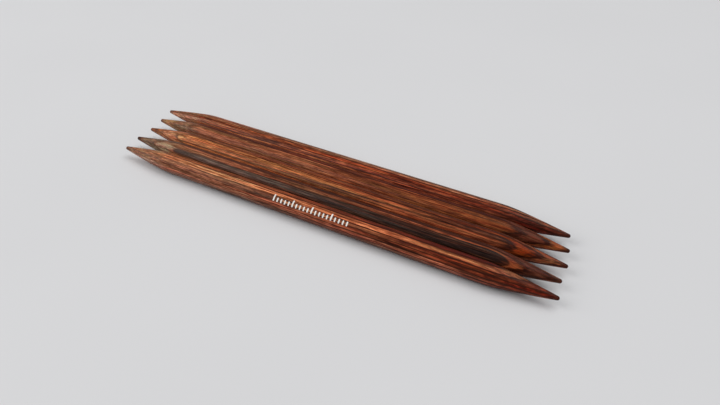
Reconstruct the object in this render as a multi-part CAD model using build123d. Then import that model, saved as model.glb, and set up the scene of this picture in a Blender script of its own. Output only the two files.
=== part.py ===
from build123d import *
import os
from math import acos, cos, degrees, radians, sin

# A set of five double-pointed knitting needles of dyed laminated wood, lying side by side.
# Millimetres and degrees. +X runs along the needles, +Y to the rear needle, +Z up.

# One needle
DIAMETER = 6.5  # the standard size of the set
LENGTH = 150.0  # tip to tip
NOSE_RADIUS = 0.6  # the rounded end of each point
FLANK_RADIUS = 400.0  # the long, nearly straight taper of each point
SHOULDER_RADIUS = 45.0  # the arc that runs from the taper into the shank
SHOULDER_ANGLE = 7.4  # how far the shoulder turns

# Its laminate: flat veneers, each parted from the next by a film of dark glue
VENEER_PITCH = 1.1  # one veneer and one film
GLUE_FILM = 0.12
THINNEST_VENEER = 0.25  # a film is left out where less wood than this would lie outside it

# How the set lies, from the front needle to the rear one:
#   spacing  distance of its axis from the needle in front of it
#   along    how far it is pushed along X
#   yaw      how far it is turned from X
#   face     where its first veneer faces: 0 is the front, 90 is up
#   first    distance of its first film from the axis
#   lean     how far its films tilt along the needle
NEEDLES = {
    "needle_1": dict(spacing=0.0, along=2.1, yaw=0.15, face=114, first=2.94, lean=0.06),
    "needle_2": dict(spacing=6.66, along=0.8, yaw=0.10, face=42, first=2.02, lean=-0.02),
    "needle_3": dict(spacing=6.76, along=0.5, yaw=0.0, face=50, first=2.72, lean=-0.11),
    "needle_4": dict(spacing=6.62, along=-0.9, yaw=0.0, face=55, first=2.68, lean=0.08),
    "needle_5": dict(spacing=6.66, along=-2.6, yaw=0.0, face=-30, first=2.3, lean=0.12),
}

RADIUS = DIAMETER / 2
OUTPUT_FOLDER = "parts"


def arc(start, radius, begins, ends):
    """The middle and the end of an arc that bends down towards the axis, between two slopes in degrees."""
    points = []
    for slope in ((begins + ends) / 2, ends):
        run = radius * (sin(radians(begins)) - sin(radians(slope)))
        rise = radius * (cos(radians(slope)) - cos(radians(begins)))
        points.append((start[0] + run, start[1] + rise))
    return points


def needle_blank():
    """A whole needle about the X axis, centred on the origin."""
    flank_drop = FLANK_RADIUS * cos(radians(SHOULDER_ANGLE))
    shoulder_rise = SHOULDER_RADIUS * (1 - cos(radians(SHOULDER_ANGLE)))
    nose_slope = degrees(acos((flank_drop + shoulder_rise - RADIUS) / (FLANK_RADIUS - NOSE_RADIUS)))

    tip = (-LENGTH / 2, 0)
    nose_middle, nose_end = arc(tip, NOSE_RADIUS, 90, nose_slope)
    flank_middle, flank_end = arc(nose_end, FLANK_RADIUS, nose_slope, SHOULDER_ANGLE)
    shoulder_middle, shoulder_end = arc(flank_end, SHOULDER_RADIUS, SHOULDER_ANGLE, 0)
    print("taper", round(shoulder_end[0] - tip[0], 2), "long, top at", round(shoulder_end[1], 4))
    with BuildPart() as blank:
        with BuildSketch(Plane.XY):
            with BuildLine():
                ThreePointArc(tip, nose_middle, nose_end)
                ThreePointArc(nose_end, flank_middle, flank_end)
                ThreePointArc(flank_end, shoulder_middle, shoulder_end)
                Line(shoulder_end, (0, RADIUS))
                Line((0, RADIUS), (0, 0))
                Line((0, 0), tip)
            make_face()
        revolve(axis=Axis.X)
        mirror(about=Plane.YZ)
    return blank.part.solid()


def film_offsets(first):
    """Distances of the films' middles from the axis, from the first film down to the last."""
    offsets = []
    offset = first
    while offset > THINNEST_VENEER + GLUE_FILM / 2 - RADIUS:
        offsets.append(offset)
        offset -= VENEER_PITCH
    return offsets


def layer(blank, face, lean, top, bottom):
    """The slice of a blank between two parallel planes."""
    turn = Rot(X=90 - face) * Rot(Y=lean)
    slab = turn * Pos(Z=(top + bottom) / 2) * Box(LENGTH + DIAMETER, 2 * DIAMETER, top - bottom)
    return (blank & slab).solid()


def needle_layers(blank, face, first, lean):
    """A needle's veneers and its glue films, each a list of solids."""
    films = film_offsets(first)
    tops = [DIAMETER] + [offset - GLUE_FILM / 2 for offset in films]
    bottoms = [offset + GLUE_FILM / 2 for offset in films] + [-DIAMETER]
    veneers = [layer(blank, face, lean, top, bottom) for top, bottom in zip(tops, bottoms)]
    glue = [layer(blank, face, lean, mid + GLUE_FILM / 2, mid - GLUE_FILM / 2) for mid in films]
    return veneers, glue


def places():
    """Where each needle lies in a row whose front needle is on the X axis."""
    distance = 0.0
    row = {}
    for name, needle in NEEDLES.items():
        distance += needle["spacing"]
        row[name] = Pos(needle["along"], distance, RADIUS) * Rot(Z=needle["yaw"])
    return row


def centring(blank, row):
    """The move that puts the origin under the middle of the whole set."""
    boxes = [(place * blank).bounding_box() for place in row.values()]
    middle_x = (min(box.min.X for box in boxes) + max(box.max.X for box in boxes)) / 2
    middle_y = (min(box.min.Y for box in boxes) + max(box.max.Y for box in boxes)) / 2
    return Pos(-middle_x, -middle_y, 0)


def write(node, shape):
    shape.label = node
    export_step(shape, os.path.join(OUTPUT_FOLDER, node + ".step"))


def build():
    os.makedirs(OUTPUT_FOLDER, exist_ok=True)
    blank = needle_blank()
    row = places()
    centre = centring(blank, row)
    for name, place in row.items():
        needle = NEEDLES[name]
        veneers, glue = needle_layers(blank, needle["face"], needle["first"], needle["lean"])
        for number, veneer in enumerate(veneers, start=1):
            write(f"{name}_veneer_{number}", centre * place * veneer)
        write(f"{name}_glue_films", Compound(children=[centre * place * film for film in glue]))
        print(name, len(veneers), "veneers", len(glue), "films")


build()
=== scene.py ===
import math

import bpy
import numpy as np
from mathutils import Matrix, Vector


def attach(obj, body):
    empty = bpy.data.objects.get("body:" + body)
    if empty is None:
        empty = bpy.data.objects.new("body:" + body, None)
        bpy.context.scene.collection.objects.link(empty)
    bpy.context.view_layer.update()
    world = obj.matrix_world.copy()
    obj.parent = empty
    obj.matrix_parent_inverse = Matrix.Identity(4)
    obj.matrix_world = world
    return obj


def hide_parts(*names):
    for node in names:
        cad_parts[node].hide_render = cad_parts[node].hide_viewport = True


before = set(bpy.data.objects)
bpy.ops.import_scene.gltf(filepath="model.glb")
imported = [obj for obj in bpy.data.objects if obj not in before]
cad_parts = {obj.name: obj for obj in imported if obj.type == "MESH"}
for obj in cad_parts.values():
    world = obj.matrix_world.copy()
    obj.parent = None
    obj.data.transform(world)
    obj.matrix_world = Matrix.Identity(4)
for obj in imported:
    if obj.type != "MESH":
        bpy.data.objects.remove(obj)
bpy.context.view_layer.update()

# Five double-pointed knitting needles of dyed, laminated and lacquered wood, lying side by side.
# Every veneer and every set of glue films of the CAD frame gets a finer mesh of the same shape, with a wood
# or resin material that follows the veneer's own flat sheet through the turned surface.

MM = 0.001

# The turned outline of a needle, in millimetres, as in the CAD model
SHANK_RADIUS = 3.25
NOSE_RADIUS = 0.6
FLANK_RADIUS = 400.0
SHOULDER_RADIUS = 45.0
SHOULDER_SLOPE = math.radians(7.4)

# How finely the meshes are cut
NOSE_STEPS = 9
TAPER_STEP = 0.9
SHANK_STEP = 4.0
TONGUE_STEPS = 5         # extra stations behind the point of each tongue of veneer
TONGUE_STEP = 0.06
VENEER_ARC_STEPS = 12
FILM_ARC_STEPS = 3
WELD = 1e-5              # millimetres between points that are one
CLOSEST = 2e-4           # millimetres between stations, and the least height of a section
HALVINGS = 60            # of the taper's length, when a tongue's point is looked for
OUTSIDE = 2 * SHANK_RADIUS    # the depth given to the outer side of the first and last veneer
SAME_WAY = 0.99999       # cosine between the normals of faces that lie in one flat side

NEEDLES = ("needle_1", "needle_2", "needle_3", "needle_4", "needle_5")


# ---------------------------------------------------------------- outline

class Outline:
    """The radius of a needle at a distance from its tip, in millimetres."""

    def __init__(self):
        rise = SHOULDER_RADIUS * (1 - math.cos(SHOULDER_SLOPE))
        drop = FLANK_RADIUS * math.cos(SHOULDER_SLOPE)
        cosine = (drop + rise - SHANK_RADIUS) / (FLANK_RADIUS - NOSE_RADIUS)
        slope = math.acos(cosine)
        self.nose_slope = slope
        self.nose_end = NOSE_RADIUS * (1 - math.sin(slope))
        self.flank_middle = self.nose_end + FLANK_RADIUS * math.sin(slope)
        self.flank_base = NOSE_RADIUS * cosine - FLANK_RADIUS * cosine
        self.flank_end = self.flank_middle - FLANK_RADIUS * math.sin(SHOULDER_SLOPE)
        self.taper = self.flank_end + SHOULDER_RADIUS * math.sin(SHOULDER_SLOPE)

    def at(self, a):
        """Radius and slope at a distance a from the tip."""
        if a <= 0:
            return 0.0, math.inf
        if a < self.nose_end:
            radius = math.sqrt(NOSE_RADIUS ** 2 - (NOSE_RADIUS - a) ** 2)
            return radius, (NOSE_RADIUS - a) / radius
        if a < self.flank_end:
            run = self.flank_middle - a
            height = math.sqrt(FLANK_RADIUS ** 2 - run ** 2)
            return self.flank_base + height, run / height
        if a < self.taper:
            run = self.taper - a
            height = math.sqrt(SHOULDER_RADIUS ** 2 - run ** 2)
            return SHANK_RADIUS - SHOULDER_RADIUS + height, run / height
        return SHANK_RADIUS, 0.0


OUTLINE = Outline()


# ---------------------------------------------------------------- a needle, as read from the frame

def mesh_points(node):
    """A CAD node's vertices, in millimetres."""
    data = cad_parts[node].data
    points = np.zeros(len(data.vertices) * 3)
    data.vertices.foreach_get("co", points)
    return points.reshape(-1, 3) / MM


def largest_face_normal(node):
    """The direction that the flat sides of a veneer face, from all its faces that look the same way."""
    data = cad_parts[node].data
    normals = np.zeros(len(data.polygons) * 3)
    areas = np.zeros(len(data.polygons))
    data.polygons.foreach_get("normal", normals)
    data.polygons.foreach_get("area", areas)
    normals = normals.reshape(-1, 3)
    seed = normals[np.argmax(areas)]
    same = normals @ seed > SAME_WAY
    normal = (normals[same] * areas[same, None]).sum(0)
    return normal / np.linalg.norm(normal)


class Needle:
    """Where a needle lies, how its veneers are stacked, and the sections of any layer of it."""

    def __init__(self, name):
        self.name = name
        members = [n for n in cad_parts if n.startswith(name + "_")]
        veneers = [n for n in members if "_veneer_" in n]
        self.veneers = sorted(veneers, key=lambda n: int(n.rsplit("_", 1)[1]))
        self.films_node = name + "_glue_films"
        points = np.vstack([mesh_points(n) for n in self.veneers])
        left, right = points[np.argmin(points[:, 0])], points[np.argmax(points[:, 0])]
        self.centre = (left + right) / 2
        self.length = float(np.linalg.norm(right - left))
        self.axis = (right - left) / self.length
        # the outer box gives the height and the side of the axis exactly
        self.centre[2] = (points[:, 2].min() + points[:, 2].max()) / 2

        normal = largest_face_normal(self.veneers[len(self.veneers) // 2])
        first = mesh_points(self.veneers[0]).mean(0) - self.centre
        if normal @ first < 0:
            normal = -normal
        self.lean = float(normal @ self.axis)
        up = normal - self.lean * self.axis
        self.steep = float(np.linalg.norm(up))
        self.up = up / self.steep
        self.across = np.cross(self.axis, self.up)
        if self.across[2] < 0:
            self.across = -self.across

        self.limits = []       # the upper and lower depth of each veneer
        for node in self.veneers:
            depth = (mesh_points(node) - self.centre) @ normal
            self.limits.append([float(depth.max()), float(depth.min())])
        self.limits[0][0] = OUTSIDE
        self.limits[-1][1] = -OUTSIDE
        self.stations = self.find_stations()

    def radius(self, x):
        return OUTLINE.at(self.length / 2 - abs(x))[0]

    def height(self, depth, x):
        """Height above the axis, at x, of the plane at a depth of the laminate."""
        return (depth - x * self.lean) / self.steep

    def planes(self):
        """The depths of the flat sides of all the veneers."""
        inner = [depth for pair in self.limits for depth in pair]
        return inner[1:-1]

    def tongue_tip(self, depth, side):
        """Where along the axis the surface first reaches a plane, coming in from one tip."""
        low, high = 0.0, OUTLINE.taper
        for _ in range(HALVINGS):
            middle = (low + high) / 2
            x = side * (self.length / 2 - middle)
            if self.radius(x) < abs(self.height(depth, x)):
                low = middle
            else:
                high = middle
        return high

    def find_stations(self):
        """The places along the axis where the needle is cut into sections."""
        half = self.length / 2
        turn = math.pi / 2 - OUTLINE.nose_slope
        from_tip = [NOSE_RADIUS * (1 - math.cos(turn * k / NOSE_STEPS)) for k in range(NOSE_STEPS + 1)]
        steps = math.ceil((OUTLINE.taper - OUTLINE.nose_end) / TAPER_STEP)
        from_tip += list(np.linspace(OUTLINE.nose_end, OUTLINE.taper, steps + 1)[1:])
        found = set()
        for side in (-1, 1):
            found.update(side * (half - a) for a in from_tip)
            for depth in self.planes():
                tip = self.tongue_tip(depth, side)
                found.update(side * (half - tip - TONGUE_STEP * k * k) for k in range(TONGUE_STEPS + 1))
        shank = half - OUTLINE.taper
        found.update(np.linspace(-shank, shank, math.ceil(2 * shank / SHANK_STEP) + 1))
        stations = []
        for x in sorted(found):
            if not stations or x - stations[-1] > CLOSEST:
                stations.append(float(x))
        if half - stations[-1] > WELD:    # the tip itself always has a station
            stations.append(half)
        return stations

    def rings(self, top, bottom, arc_steps):
        """The sections, in the needle's own frame, of what lies between two planes of the laminate."""
        rings = []
        for x in self.stations:
            radius = self.radius(x)
            high = min(self.height(top, x), radius)
            low = max(self.height(bottom, x), -radius)
            if high - low < -CLOSEST or low > radius or high < -radius:
                continue
            rings.append(ring(x, radius, high, min(low, high), arc_steps))
        return rings


def ring(x, radius, high, low, arc_steps):
    """One section of a layer: right arc down, bottom chord, left arc up, top chord."""
    if radius < 1e-9:
        start = end = 0.0
    else:
        start = math.acos(max(-1.0, min(1.0, high / radius)))
        end = math.acos(max(-1.0, min(1.0, low / radius)))
    angles = [start + (end - start) * k / arc_steps for k in range(arc_steps + 1)]
    right = [(x, radius * math.sin(t), radius * math.cos(t)) for t in angles]
    right[0] = (x, right[0][1], high)
    right[-1] = (x, right[-1][1], low)
    left = [(x, -v, w) for x, v, w in reversed(right)]
    return right + [(x, 0.0, low)] + left + [(x, 0.0, high)]


def skin(rings):
    """Faces between neighbouring rings, and each face's place in a ring. Coincident points are made one."""
    points = np.array(rings).reshape(-1, 3)
    keys = np.round(points / WELD).astype(np.int64)
    _, first, index = np.unique(keys, axis=0, return_index=True, return_inverse=True)
    index = index.reshape(-1)
    count = len(rings[0])
    faces, columns = [], []
    for i in range(len(rings) - 1):
        for j in range(count):
            k = (j + 1) % count
            corners = [i * count + j, (i + 1) * count + j, (i + 1) * count + k, i * count + k]
            loop = []
            for corner in (int(index[c]) for c in corners):
                if corner not in loop:
                    loop.append(corner)
            if len(loop) > 2:
                faces.append(loop)
                columns.append(j)
    # a layer that doesn't run out to nothing at an end is closed with a flat face
    for start, direction in ((0, 1), (len(rings) - 1, -1)):
        loop = []
        for corner in index[start * count:(start + 1) * count]:
            if int(corner) not in loop:
                loop.append(int(corner))
        if len(loop) > 2:
            faces.append(loop[::direction])
            columns.append(count - 1)
    return points[first], faces, columns


def build_piece(needle, name, layers, arc_steps, material):
    """One or more layers of a needle as an object, with exact normals and the laminate's own coordinates."""
    points, faces, outer = [], [], []
    for top, bottom in layers:
        new_points, new_faces, columns = skin(needle.rings(top, bottom, arc_steps))
        shift = sum(len(p) for p in points)
        points.append(new_points)
        faces += [[corner + shift for corner in face] for face in new_faces]
        outer += [j < arc_steps or arc_steps + 2 <= j < 2 * arc_steps + 2 for j in columns]
    local = np.vstack(points)

    basis = np.array([needle.axis, needle.across, needle.up])
    world = needle.centre + local @ basis
    if np.linalg.det(basis) < 0:      # a mirrored frame turns the faces inside out
        faces = [face[::-1] for face in faces]
    mesh = bpy.data.meshes.new(name)
    mesh.from_pydata((world * MM).tolist(), [], faces)
    mesh.update()

    # outer faces take the turned surface's normals, flat ones the plane's
    slopes = [OUTLINE.at(max(needle.length / 2 - abs(x), 0.0))[1] for x in local[:, 0]]
    normals = []
    for face, is_outer in zip(mesh.polygons, outer):
        face.use_smooth = is_outer
        for corner in face.vertices:
            if is_outer:
                normals.append(surface_normal(local[corner], slopes[corner]) @ basis)
            else:
                normals.append(np.array(face.normal))
    mesh.normals_split_custom_set([tuple(n) for n in normals])

    depth = local[:, 0] * needle.lean + local[:, 2] * needle.steep
    keep_grain(mesh, np.column_stack([local[:, 0], local[:, 1], depth]))
    mesh.materials.append(material)
    piece = bpy.data.objects.new(name, mesh)
    bpy.context.scene.collection.objects.link(piece)
    return piece


def keep_grain(mesh, places):
    """Stores where each point lies in the laminate, in millimetres, for the materials."""
    attribute = mesh.attributes.new("grain", "FLOAT_VECTOR", "POINT")
    attribute.data.foreach_set("vector", places.astype(np.float32).ravel())


def surface_normal(point, slope):
    """The turned surface's normal in the needle's own frame."""
    x, v, w = point
    outward = -1.0 if x < 0 else 1.0      # along the axis, towards the nearer tip
    reach = math.hypot(v, w)
    if reach < 1e-6 or math.isinf(slope):
        return np.array([outward, 0.0, 0.0])
    normal = np.array([outward * slope, v / reach, w / reach])
    return normal / np.linalg.norm(normal)


# ---------------------------------------------------------------- materials

def linear(red, green, blue):
    """A colour given as a screen shows it, 0 to 255, as light."""
    values = []
    for channel in (red, green, blue):
        c = channel / 255
        values.append(c / 12.92 if c <= 0.04045 else ((c + 0.055) / 1.055) ** 2.4)
    return (*values, 1.0)


class Paint:
    """A material under construction: short names for the nodes that the finishes share."""

    def __init__(self, name):
        self.material = bpy.data.materials.new(name)
        self.material.use_nodes = True
        self.tree = self.material.node_tree
        self.shader = self.tree.nodes["Principled BSDF"]

    def node(self, kind, **settings):
        node = self.tree.nodes.new(kind)
        for key, value in settings.items():
            setattr(node, key, value)
        return node

    def put(self, value, socket):
        """Links an output to a socket, or sets the socket to a plain value."""
        if isinstance(value, bpy.types.NodeSocket):
            self.tree.links.new(value, socket)
        else:
            socket.default_value = value

    def math(self, operation, a, b=0.0, c=0.0, clamp=False):
        node = self.node("ShaderNodeMath", operation=operation, use_clamp=clamp)
        for socket, value in zip(node.inputs, (a, b, c)):
            self.put(value, socket)
        return node.outputs[0]

    def vector(self, operation, a, b):
        node = self.node("ShaderNodeVectorMath", operation=operation)
        self.put(a, node.inputs[0])
        self.put(b, node.inputs[1])
        return node.outputs[0]

    def step(self, value, low, high, to_low=0.0, to_high=1.0):
        """A soft step from to_low, at or below low, to to_high, at or above high."""
        node = self.node("ShaderNodeMapRange", interpolation_type="SMOOTHSTEP")
        for socket, v in zip(node.inputs, (value, low, high, to_low, to_high)):
            self.put(v, socket)
        return node.outputs[0]

    def mix(self, factor, a, b, blend="MIX"):
        node = self.node("ShaderNodeMix", data_type="RGBA", blend_type=blend)
        self.put(factor, node.inputs["Factor"])
        self.put(a, node.inputs[6])
        self.put(b, node.inputs[7])
        return node.outputs[2]

    def noise(self, place, size, detail=2.0, offset=0.0, roughness=0.55):
        """Cloudy noise, 0 to 1, in blobs of a size in millimetres along, across and through the veneer."""
        scale = tuple(1.0 / s for s in size)
        moved = self.vector("MULTIPLY", place, scale)
        moved = self.vector("ADD", moved, (offset, 1.7 * offset, -0.6 * offset))
        node = self.node("ShaderNodeTexNoise", noise_dimensions="3D")
        self.put(moved, node.inputs["Vector"])
        self.put(1.0, node.inputs["Scale"])
        self.put(detail, node.inputs["Detail"])
        self.put(roughness, node.inputs["Roughness"])
        return node.outputs["Fac"]

    def grain(self):
        """The laminate's own coordinates, in millimetres: along, across, depth."""
        return self.node("ShaderNodeAttribute", attribute_name="grain").outputs["Vector"]

    def split(self, vector):
        node = self.node("ShaderNodeSeparateXYZ")
        self.put(vector, node.inputs[0])
        return tuple(node.outputs)

    def bump(self, height, distance):
        """Relief of a height from 0 to 1, times a distance in millimetres."""
        node = self.node("ShaderNodeBump")
        node.inputs["Strength"].default_value = 1.0
        node.inputs["Distance"].default_value = distance * MM
        self.put(height, node.inputs["Height"])
        self.tree.links.new(node.outputs[0], self.shader.inputs["Normal"])

    def finish(self, colour, roughness, **fixed):
        """Puts a colour and a roughness on the shader, and plain values on its other sockets."""
        self.put(colour, self.shader.inputs["Base Color"])
        self.put(roughness, self.shader.inputs["Roughness"])
        for socket, value in fixed.items():
            self.shader.inputs[socket.replace("_", " ")].default_value = value


# Sizes in the grain, in millimetres: along the needle, across the veneer and through it
SWAY = (38.0, 4.0, 3.0)               # how slowly the figure wanders
DYE_CLOUD = (14.0, 1.6, 0.9)
FIBRES = (16.0, 0.26, 0.5)
FIBRE_HUES = (26.0, 0.55, 0.8)
FLECKS = (3.6, 0.17, 0.4)
PORES = (2.6, 0.085, 0.085)
STAIN_EDGE = (9.0, 0.6, 0.6)
WEAR = (7.0, 2.0, 2.0)
RESIN_CLOUD = (11.0, 0.8, 0.4)
RESIN_GRIT = (0.8, 0.1, 0.1)
INK_CLOUD = (1.1, 0.9, 0.9)
INK_PINHOLES = (0.12, 0.09, 0.09)

# Places along a needle, in millimetres from its middle
DYE_SPAN = 150.0                         # the stretch that a veneer's four dye colours cover
DYES_AT = (-66.0, -54.0, 50.0, 64.0)     # where each of them is purest
DYE_DRIFT = 24.0                         # how far the cloud moves them
CRUST_ENDS = (-55.0, 75.0)
LINE_ENDS = (-60.0, 60.0)
CALM_FROM, CALM_TO = 50.0, 62.0          # the fibres fade on the points
STAIN_WIDENS = (30.0, 58.0)
STAIN_DARKENS = (-62.0, 58.0)
RESIN_DARKENS = (-62.0, -20.0)
END_GRAIN_FROM, END_GRAIN_TO = 72.0, 74.9

END_GRAIN = linear(58, 30, 22)
GLUE_STAIN = linear(46, 20, 12)
PORE = linear(40, 18, 12)
RESIN_LEFT = (linear(96, 58, 40), linear(140, 90, 60))      # darkest and lightest
RESIN_RIGHT = (linear(40, 14, 8), linear(84, 34, 18))
GRIT = linear(20, 10, 8)
INK = (linear(228, 224, 216), linear(250, 248, 240))
PINHOLE = linear(150, 118, 100)
# these multiply the dye
RED_FIBRE = (1.1, 0.84, 0.72, 1.0)
OLIVE_FIBRE = (0.9, 1.02, 0.84, 1.0)
DARK_FIBRE = (0.27, 0.17, 0.1, 1.0)
PALE_FIBRE = (1.9, 2.0, 2.1, 1.0)
DARK_FLECK = (0.62, 0.54, 0.48, 1.0)
PALE_FLECK = (1.5, 1.62, 1.7, 1.0)

# Thin satin lacquer over wood and resin: little gloss seen from above, bright at a grazing angle
LACQUER = dict(Specular_IOR_Level=0.04, Coat_Weight=0.6, Coat_Roughness=0.2, Coat_IOR=1.18)
WOOD_RELIEF = 0.012      # millimetres
RESIN_RELIEF = 0.006
INK_RELIEF = 0.004


def dye(paint, along, cloud, colours):
    """A slow change of tint along a veneer: left point, left half, right half, right point."""
    moved = paint.math("MULTIPLY_ADD", cloud, DYE_DRIFT, along)
    middle = 0.5 - DYE_DRIFT / 2 / DYE_SPAN
    share = paint.math("MULTIPLY_ADD", moved, 1 / DYE_SPAN, middle, clamp=True)
    ramp = paint.node("ShaderNodeValToRGB")
    paint.put(share, ramp.inputs[0])
    ramp.color_ramp.interpolation = "EASE"
    stops = ramp.color_ramp.elements
    while len(stops) < len(colours):
        stops.new(0.5)
    for stop, at, colour in zip(stops, DYES_AT, colours):
        stop.position = 0.5 + at / DYE_SPAN
        stop.color = linear(*colour)
    return ramp.outputs[0]


def wood(name, look, top, bottom, seed):
    """A dyed, lacquered veneer between two depths of its needle. Each noise has its own offset."""
    paint = Paint(name)
    place = paint.grain()
    along, across, depth = paint.split(place)

    sway = paint.math("SUBTRACT", paint.noise(place, SWAY, 1.0, seed + 3.1), 0.5)
    shift = paint.node("ShaderNodeCombineXYZ")
    paint.put(paint.math("MULTIPLY", sway, look["sway"]), shift.inputs[1])
    paint.put(paint.math("MULTIPLY", sway, 0.35 * look["sway"]), shift.inputs[2])
    wandering = paint.vector("ADD", place, shift.outputs[0])

    cloud = paint.noise(place, DYE_CLOUD, 2.0, seed + 8.4)
    colour = dye(paint, along, cloud, look["dye"])
    if look["crust"]:
        left, right, colours = look["crust"]
        outer = dye(paint, along, cloud, colours)
        colour = crusted(paint, colour, outer, paint.step(along, *CRUST_ENDS, left, right), depth, sway)

    # figure: long bands of early and late wood
    figure = paint.noise(wandering, look["figure"], 3.0, seed, 0.62)
    figure = paint.step(figure, *look["figure_range"], 0.0, look["figure_depth"])
    for line in look["lines"]:
        figure = paint.math("MAXIMUM", figure, drawn_line(paint, along, across, sway, *line))
    colour = paint.mix(figure, colour, dye(paint, along, cloud, look["dark"]))

    fibres = paint.noise(wandering, FIBRES, 3.0, seed + 5.7, 0.7)
    colour = fibrous(paint, colour, fibres, wandering, along, seed)
    pores = paint.step(paint.noise(place, PORES, 1.0, seed + 11.3), 0.62, 0.70)
    colour = paint.mix(paint.math("MULTIPLY", pores, 0.6), colour, PORE)

    glued = []
    if top < OUTSIDE:
        glued.append(paint.math("SUBTRACT", top, depth))
    if bottom > -OUTSIDE:
        glued.append(paint.math("SUBTRACT", depth, bottom))
    colour = stained(paint, colour, look, glued, place, along, seed)

    # the turned ends soak up more dye
    end = paint.step(paint.math("ABSOLUTE", along), END_GRAIN_FROM, END_GRAIN_TO, 0.0, 0.7)
    colour = paint.mix(end, colour, END_GRAIN)

    worn = paint.noise(place, WEAR, 3.0, seed + 20.2)
    rough = paint.step(worn, 0.25, 0.75, 0.42, 0.56)
    paint.finish(colour, paint.math("MULTIPLY_ADD", pores, 0.15, rough), **LACQUER)
    paint.bump(paint.math("MULTIPLY_ADD", pores, -0.8, fibres), WOOD_RELIEF)
    return paint.material


def crusted(paint, colour, outer, border, depth, sway):
    """The colour, with another one outside a wavy depth and a thin dark rim between the two."""
    border = paint.math("MULTIPLY_ADD", sway, 0.5, border)
    beyond = paint.math("SUBTRACT", depth, border)
    colour = paint.mix(paint.step(beyond, -0.04, 0.05), colour, outer)
    rim = paint.step(paint.math("ABSOLUTE", beyond), 0.0, 0.10, 0.75, 0.0)
    return paint.mix(rim, colour, GLUE_STAIN)


def drawn_line(paint, along, across, sway, start, end, width, strength):
    """A dark line of the figure that runs from start, at the left end, to end, at the right one."""
    middle = paint.step(along, *LINE_ENDS, start, end)
    middle = paint.math("MULTIPLY_ADD", sway, 0.8, middle)
    off = paint.math("ABSOLUTE", paint.math("SUBTRACT", across, middle))
    return paint.step(off, 0.0, width, strength, 0.0)


def fibrous(paint, colour, fibres, wandering, along, seed):
    """The colour, with red and olive, dark and pale fibres and short flecks, all fainter on the points."""
    hue = paint.noise(wandering, FIBRE_HUES, 2.0, seed + 27.9)
    tint = paint.mix(paint.step(hue, 0.36, 0.64), RED_FIBRE, OLIVE_FIBRE)
    colour = paint.mix(1.0, colour, tint, "MULTIPLY")
    calm = paint.step(paint.math("ABSOLUTE", along), CALM_FROM, CALM_TO, 1.0, 0.5)
    shade = paint.mix(paint.step(fibres, 0.32, 0.68), DARK_FIBRE, PALE_FIBRE)
    colour = paint.mix(calm, colour, shade, "MULTIPLY")
    flecks = paint.noise(wandering, FLECKS, 2.0, seed + 33.1)
    shade = paint.mix(paint.step(flecks, 0.34, 0.62), PALE_FLECK, DARK_FLECK)
    return paint.mix(calm, colour, shade, "MULTIPLY")


def stained(paint, colour, look, glued, place, along, seed):
    """The colour, stained unevenly by resin near each glued side, which is given as the distance to it."""
    ragged = paint.noise(place, STAIN_EDGE, 3.0, seed + 14.9)
    reach = paint.step(ragged, 0.3, 0.7, 0.3 * look["stain"], 1.7 * look["stain"])
    reach = paint.math("MULTIPLY", reach, paint.step(along, *STAIN_WIDENS, 1.0, 2.7))
    strength = paint.step(ragged, 0.25, 0.6, 0.35, look["stain_depth"])
    strength = paint.math("MULTIPLY", strength, paint.step(along, *STAIN_DARKENS, 0.45, 1.15), clamp=True)
    for distance in glued:
        near = paint.step(paint.math("DIVIDE", distance, reach), 0.0, 1.0, 1.0, 0.0)
        colour = paint.mix(paint.math("MULTIPLY", near, strength), colour, GLUE_STAIN)
    return colour


def resin(name, seed):
    """Dark phenolic glue, a little uneven, and paler at the left end."""
    paint = Paint(name)
    place = paint.grain()
    cloud = paint.noise(place, RESIN_CLOUD, 3.0, seed)
    to_right = paint.step(paint.split(place)[0], *RESIN_DARKENS)
    darkest, lightest = (paint.mix(to_right, left, right) for left, right in zip(RESIN_LEFT, RESIN_RIGHT))
    colour = paint.mix(paint.step(cloud, 0.3, 0.7), darkest, lightest)
    grit = paint.noise(place, RESIN_GRIT, 2.0, seed + 2.0)
    colour = paint.mix(paint.step(grit, 0.55, 0.75, 0.0, 0.4), colour, GRIT)
    paint.finish(colour, paint.step(grit, 0.3, 0.7, 0.3, 0.46), **LACQUER)
    paint.bump(grit, RESIN_RELIEF)
    return paint.material


def ink():
    """Screen-printed white ink: slightly thin in places, with pinholes."""
    paint = Paint("size_mark_ink")
    place = paint.grain()
    cloud = paint.noise(place, INK_CLOUD, 3.0, 4.0)
    colour = paint.mix(paint.step(cloud, 0.3, 0.7), *INK)
    holes = paint.step(paint.noise(place, INK_PINHOLES, 2.0, 9.0), 0.66, 0.74)
    colour = paint.mix(paint.math("MULTIPLY", holes, 0.6), colour, PINHOLE)
    paint.finish(colour, paint.step(cloud, 0.3, 0.7, 0.42, 0.58))
    paint.bump(paint.math("SUBTRACT", cloud, holes), INK_RELIEF)
    return paint.material


# ---------------------------------------------------------------- what each veneer looks like
# The screen colours of a veneer's left point, left half, right half and right point, from veneer 1 on.

def dyed(colours, darkness=0.6, **more):
    """A veneer's finish. Its figure is the same dye, darkened."""
    finish = dict(
        dye=colours,
        dark=[tuple(darkness * channel for channel in colour) for colour in colours],
        figure=(52.0, 0.9, 0.34),      # the size of its bands, in millimetres
        figure_range=(0.46, 0.66),     # levels of the noise where a band starts and is full
        figure_depth=0.8,              # how dark a full band is
        sway=0.8,                      # how far the grain wanders, in millimetres
        lines=(),                      # of (left place, right place, width, strength), across the veneer
        crust=None,                    # (left depth, right depth, colours)
        stain=0.13,                    # reach of the resin's stain, in millimetres
        stain_depth=0.85,              # how dark it is
    )
    finish.update(more)
    return finish


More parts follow.
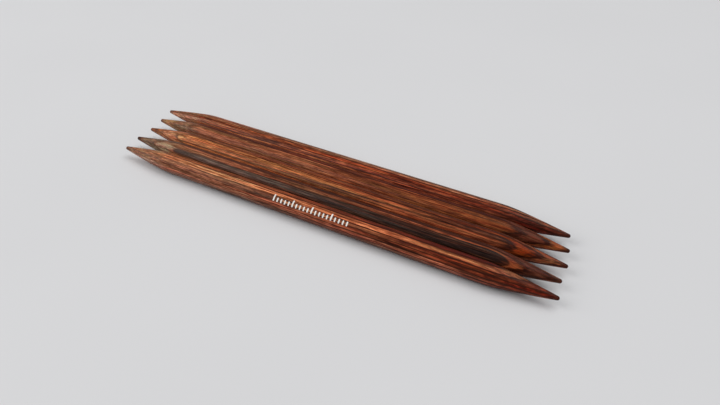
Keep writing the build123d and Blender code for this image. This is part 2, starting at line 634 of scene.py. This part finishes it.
LOOKS = {
    "needle_1": [
        dyed([(150, 90, 56), (156, 80, 44), (100, 28, 14), (104, 42, 28)]),
        dyed([(150, 106, 80), (198, 130, 94), (174, 100, 66), (150, 88, 64)], 0.62,
             figure_range=(0.5, 0.68)),
        dyed([(174, 122, 94), (164, 102, 72), (120, 52, 26), (112, 46, 28)], 0.55,
             figure=(60.0, 0.6, 0.26)),
        dyed([(164, 114, 92), (150, 92, 70), (122, 54, 32), (108, 36, 20)], 0.5,
             figure=(60.0, 0.5, 0.24)),
        dyed([(182, 138, 122), (166, 100, 78), (138, 76, 56), (122, 54, 34)], 0.5,
             figure=(60.0, 0.5, 0.24)),
        dyed([(150, 104, 88), (140, 92, 76), (122, 70, 56), (104, 46, 30)]),
        dyed([(120, 78, 60), (112, 70, 54), (98, 54, 40), (90, 40, 28)]),
    ],
    "needle_2": [
        # Veneer 1 has a dark charcoal crust. The paler, greyer crust colours at its left point and left half
        # are a painted sheen.
        dyed([(176, 146, 124), (134, 82, 60), (122, 64, 42), (150, 76, 46)],
             crust=(3.18, 2.6, [(130, 100, 84), (92, 74, 66), (34, 22, 20), (46, 26, 22)])),
        dyed([(138, 108, 90), (74, 32, 20), (70, 28, 12), (98, 52, 40)]),
        dyed([(100, 66, 48), (92, 52, 40), (84, 42, 34), (124, 70, 52)]),
        dyed([(140, 100, 80), (140, 82, 50), (124, 62, 36), (80, 40, 32)]),
        dyed([(120, 84, 66), (120, 80, 60), (104, 60, 44), (66, 34, 28)]),
        dyed([(90, 70, 60), (86, 74, 68), (56, 44, 42), (52, 34, 30)]),
    ],
    "needle_3": [
        dyed([(222, 174, 124), (196, 118, 74), (134, 68, 42), (106, 52, 30)], 0.5,
             lines=[(-1.0, 0.55, 0.5, 1.0), (0.9, 1.5, 0.3, 0.8)]),
        dyed([(204, 140, 106), (140, 72, 40), (124, 56, 30), (138, 54, 18)], 0.6),
        dyed([(174, 110, 76), (122, 78, 58), (104, 60, 44), (144, 82, 56)]),
        dyed([(150, 84, 60), (108, 56, 38), (94, 38, 26), (140, 66, 46)]),
        dyed([(184, 116, 74), (184, 116, 74), (168, 96, 58), (150, 80, 50)]),
        dyed([(122, 80, 58), (122, 80, 58), (104, 60, 42), (104, 60, 42)]),
        dyed([(168, 124, 96), (168, 124, 96), (150, 100, 72), (150, 100, 72)]),
    ],
    "needle_4": [
        dyed([(172, 134, 104), (142, 88, 62), (124, 62, 34), (122, 60, 32)], 0.55,
             figure_range=(0.44, 0.7)),
        dyed([(144, 108, 86), (94, 38, 16), (88, 31, 14), (102, 52, 38)]),
        dyed([(168, 122, 88), (104, 60, 42), (96, 52, 36), (156, 84, 48)]),
        dyed([(166, 116, 82), (120, 78, 56), (104, 58, 40), (140, 72, 46)]),
        dyed([(108, 56, 38), (108, 56, 38), (94, 38, 26), (94, 38, 26)]),
        dyed([(190, 122, 78), (190, 122, 78), (172, 100, 60), (172, 100, 60)]),
        dyed([(120, 78, 56), (120, 78, 56), (104, 58, 40), (104, 58, 40)]),
    ],
    "needle_5": [
        dyed([(132, 84, 64), (130, 76, 54), (106, 52, 36), (90, 42, 32)]),
        dyed([(156, 98, 76), (168, 96, 66), (126, 58, 38), (112, 40, 30)]),
        dyed([(194, 138, 116), (152, 82, 54), (136, 58, 36), (100, 44, 32)], 0.5,
             figure=(60.0, 0.8, 0.24)),
        dyed([(136, 88, 66), (150, 72, 44), (118, 50, 26), (136, 78, 58)], 0.5,
             figure=(60.0, 0.8, 0.24)),
        dyed([(166, 110, 78), (136, 78, 56), (172, 112, 86), (164, 100, 76)], 0.5,
             figure=(60.0, 0.8, 0.24)),
        dyed([(140, 92, 72), (158, 102, 80), (158, 108, 88), (124, 78, 62)]),
    ],
}


FIRST_SEED = 1.0
NEEDLE_SEEDS = 31.7      # between one needle and the next
VENEER_SEEDS = 17.3
FILMS_SEED = 200.0


def dress(needle, seed):
    """Replaces a needle's CAD nodes with their finished pieces."""
    for number, node in enumerate(needle.veneers):
        top, bottom = needle.limits[number]
        look = LOOKS[needle.name][number]
        material = wood(node + "_wood", look, top, bottom, seed + VENEER_SEEDS * number)
        piece = build_piece(needle, node + "_piece", [(top, bottom)], VENEER_ARC_STEPS, material)
        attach(piece, needle.name)
        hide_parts(node)
    films = [(above[1], below[0]) for above, below in zip(needle.limits, needle.limits[1:])]
    material = resin(needle.films_node + "_resin", seed + FILMS_SEED)
    piece = build_piece(needle, needle.films_node + "_piece", films, FILM_ARC_STEPS, material)
    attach(piece, needle.name)
    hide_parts(needle.films_node)


# ---------------------------------------------------------------- the printed mark
# A plain scale of strokes stands where the real needle has printed writing.

MARK_START = -12.0                # millimetres along the needle
MARK_PITCH = 1.34
MARK_COUNT = 20
TALL_EVERY = 5
MARK_FOOT = math.radians(32.5)    # where the strokes stand, up from the front of the needle
STROKE_WIDTH = 0.5
SHORT_STROKE = 1.4
TALL_STROKE = 2.2
INK_PROUD = 0.014                 # how far the ink's outer side stands out of the wood
INK_SUNK = 0.01                   # and its inner side lies below it
STROKE_COLUMNS = 8
STROKE_ROWS = 12


def stroke(x, height):
    """One stroke with rounded ends, as a grid of (along, up from its foot) points."""
    half = STROKE_WIDTH / 2
    grid = []
    for k in range(STROKE_COLUMNS + 1):
        angle = math.pi * k / STROKE_COLUMNS
        side, round_end = -half * math.cos(angle), half * math.sin(angle)
        low, high = half - round_end, height - half + round_end
        grid.append([(x + side, low + (high - low) * r / STROKE_ROWS) for r in range(STROKE_ROWS + 1)])
    return grid


def size_mark(needle):
    """A row of ink strokes that follow the shank, every fifth one tall."""
    front = np.array([needle.axis[1], -needle.axis[0], 0.0])
    front /= np.linalg.norm(front)
    above = np.cross(front, needle.axis)
    above *= math.copysign(1.0, above[2])
    columns, rows = STROKE_COLUMNS + 1, STROKE_ROWS + 1
    points, faces = [], []
    for number in range(MARK_COUNT):
        height = SHORT_STROKE if number % TALL_EVERY else TALL_STROKE
        start = len(points)
        for radius in (SHANK_RADIUS + INK_PROUD, SHANK_RADIUS - INK_SUNK):
            for column in stroke(MARK_START + MARK_PITCH * number, height):
                for x, rise in column:
                    angle = MARK_FOOT + rise / SHANK_RADIUS
                    outward = front * math.cos(angle) + above * math.sin(angle)
                    points.append(needle.centre + needle.axis * x + outward * radius)

        def at(layer, column, row):
            return start + (layer * columns + column) * rows + row

        for c in range(columns - 1):
            for r in range(rows - 1):
                faces.append([at(0, c, r), at(0, c + 1, r), at(0, c + 1, r + 1), at(0, c, r + 1)])
                faces.append([at(1, c, r + 1), at(1, c + 1, r + 1), at(1, c + 1, r), at(1, c, r)])
        border = [(c, 0) for c in range(columns)]
        border += [(columns - 1, r) for r in range(1, rows)]
        border += [(c, rows - 1) for c in range(columns - 2, -1, -1)]
        border += [(0, r) for r in range(rows - 2, 0, -1)]
        for (c, r), (d, q) in zip(border, border[1:] + border[:1]):
            faces.append([at(0, c, r), at(1, c, r), at(1, d, q), at(0, d, q)])

    points = np.array(points)
    mesh = bpy.data.meshes.new("size_mark")
    mesh.from_pydata((points * MM).tolist(), [], faces)
    keep_grain(mesh, (points - needle.centre) @ np.array([needle.axis, needle.across, needle.up]).T)
    mesh.materials.append(ink())
    piece = bpy.data.objects.new("size_mark", mesh)
    bpy.context.scene.collection.objects.link(piece)
    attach(piece, needle.name)


needles = [Needle(name) for name in NEEDLES]
for index, needle in enumerate(needles):
    dress(needle, NEEDLE_SEEDS * index + FIRST_SEED)
size_mark(needles[0])


# ---------------------------------------------------------------- studio, in metres

FLOOR_SIDE = 8.0
PAPER = ((0.735, 0.735, 0.742, 1.0), (0.765, 0.765, 0.772, 1.0))
PAPER_CLOUD = (90.0, 90.0, 90.0)     # millimetres
SKY_COLOUR = (0.97, 0.975, 1.0, 1.0)
SKY_STRENGTH = 0.3
LIGHTS = (                           # name, place, aim, side, watts
    ("overhead", (0.45, 0.45, 1.9), (0.1, 0, 0), 1.7, 18.5),
    ("window", (-1.35, -0.9, 1.2), (0, 0, 0), 1.4, 19.0),
)
CAMERA_PLACE = (0.09635, -0.1497, 0.1268)
CAMERA_AZIMUTH = math.radians(29.6)  # from the front towards the right
CAMERA_ELEVATION = math.radians(36.0)
CAMERA_LENS = 34.55                  # millimetres, on a sensor 36 mm wide
CAMERA_SENSOR = 36.0


def floor():
    bpy.ops.mesh.primitive_plane_add(size=FLOOR_SIDE, location=(0, 0, 0))
    plane = bpy.context.object
    plane.name = "floor"
    paint = Paint("floor_paper")
    place = paint.node("ShaderNodeNewGeometry").outputs["Position"]
    place = paint.vector("MULTIPLY", place, (1 / MM, 1 / MM, 1 / MM))
    cloud = paint.noise(place, PAPER_CLOUD, 2.0, 1.0)
    paint.finish(paint.mix(cloud, *PAPER), 0.75, Specular_IOR_Level=0.3)
    plane.data.materials.append(paint.material)


def area_light(name, place, aim, side, watts):
    data = bpy.data.lights.new(name, "AREA")
    data.shape = "SQUARE"
    data.size = side
    data.energy = watts
    lamp = bpy.data.objects.new(name, data)
    lamp.location = place
    lamp.rotation_mode = "QUATERNION"
    lamp.rotation_quaternion = (Vector(aim) - Vector(place)).to_track_quat("-Z", "Y")
    bpy.context.scene.collection.objects.link(lamp)


def sky():
    world = bpy.data.worlds.new("studio")
    bpy.context.scene.world = world
    world.use_nodes = True
    background = world.node_tree.nodes["Background"]
    background.inputs["Color"].default_value = SKY_COLOUR
    background.inputs["Strength"].default_value = SKY_STRENGTH


def camera():
    """Looks down on the row from the front right, as in the photograph."""
    data = bpy.data.cameras.new("camera")
    data.lens = CAMERA_LENS
    data.sensor_width = CAMERA_SENSOR
    data.clip_start, data.clip_end = 0.01, 20.0
    eye = bpy.data.objects.new("camera", data)
    eye.location = CAMERA_PLACE
    level = math.cos(CAMERA_ELEVATION)
    forward = Vector((-math.sin(CAMERA_AZIMUTH) * level, math.cos(CAMERA_AZIMUTH) * level,
                      -math.sin(CAMERA_ELEVATION)))
    eye.rotation_mode = "QUATERNION"
    eye.rotation_quaternion = forward.to_track_quat("-Z", "Y")
    bpy.context.scene.collection.objects.link(eye)
    bpy.context.scene.camera = eye


floor()
sky()
for light in LIGHTS:
    area_light(*light)
camera()
bpy.context.scene.view_settings.view_transform = "Standard"
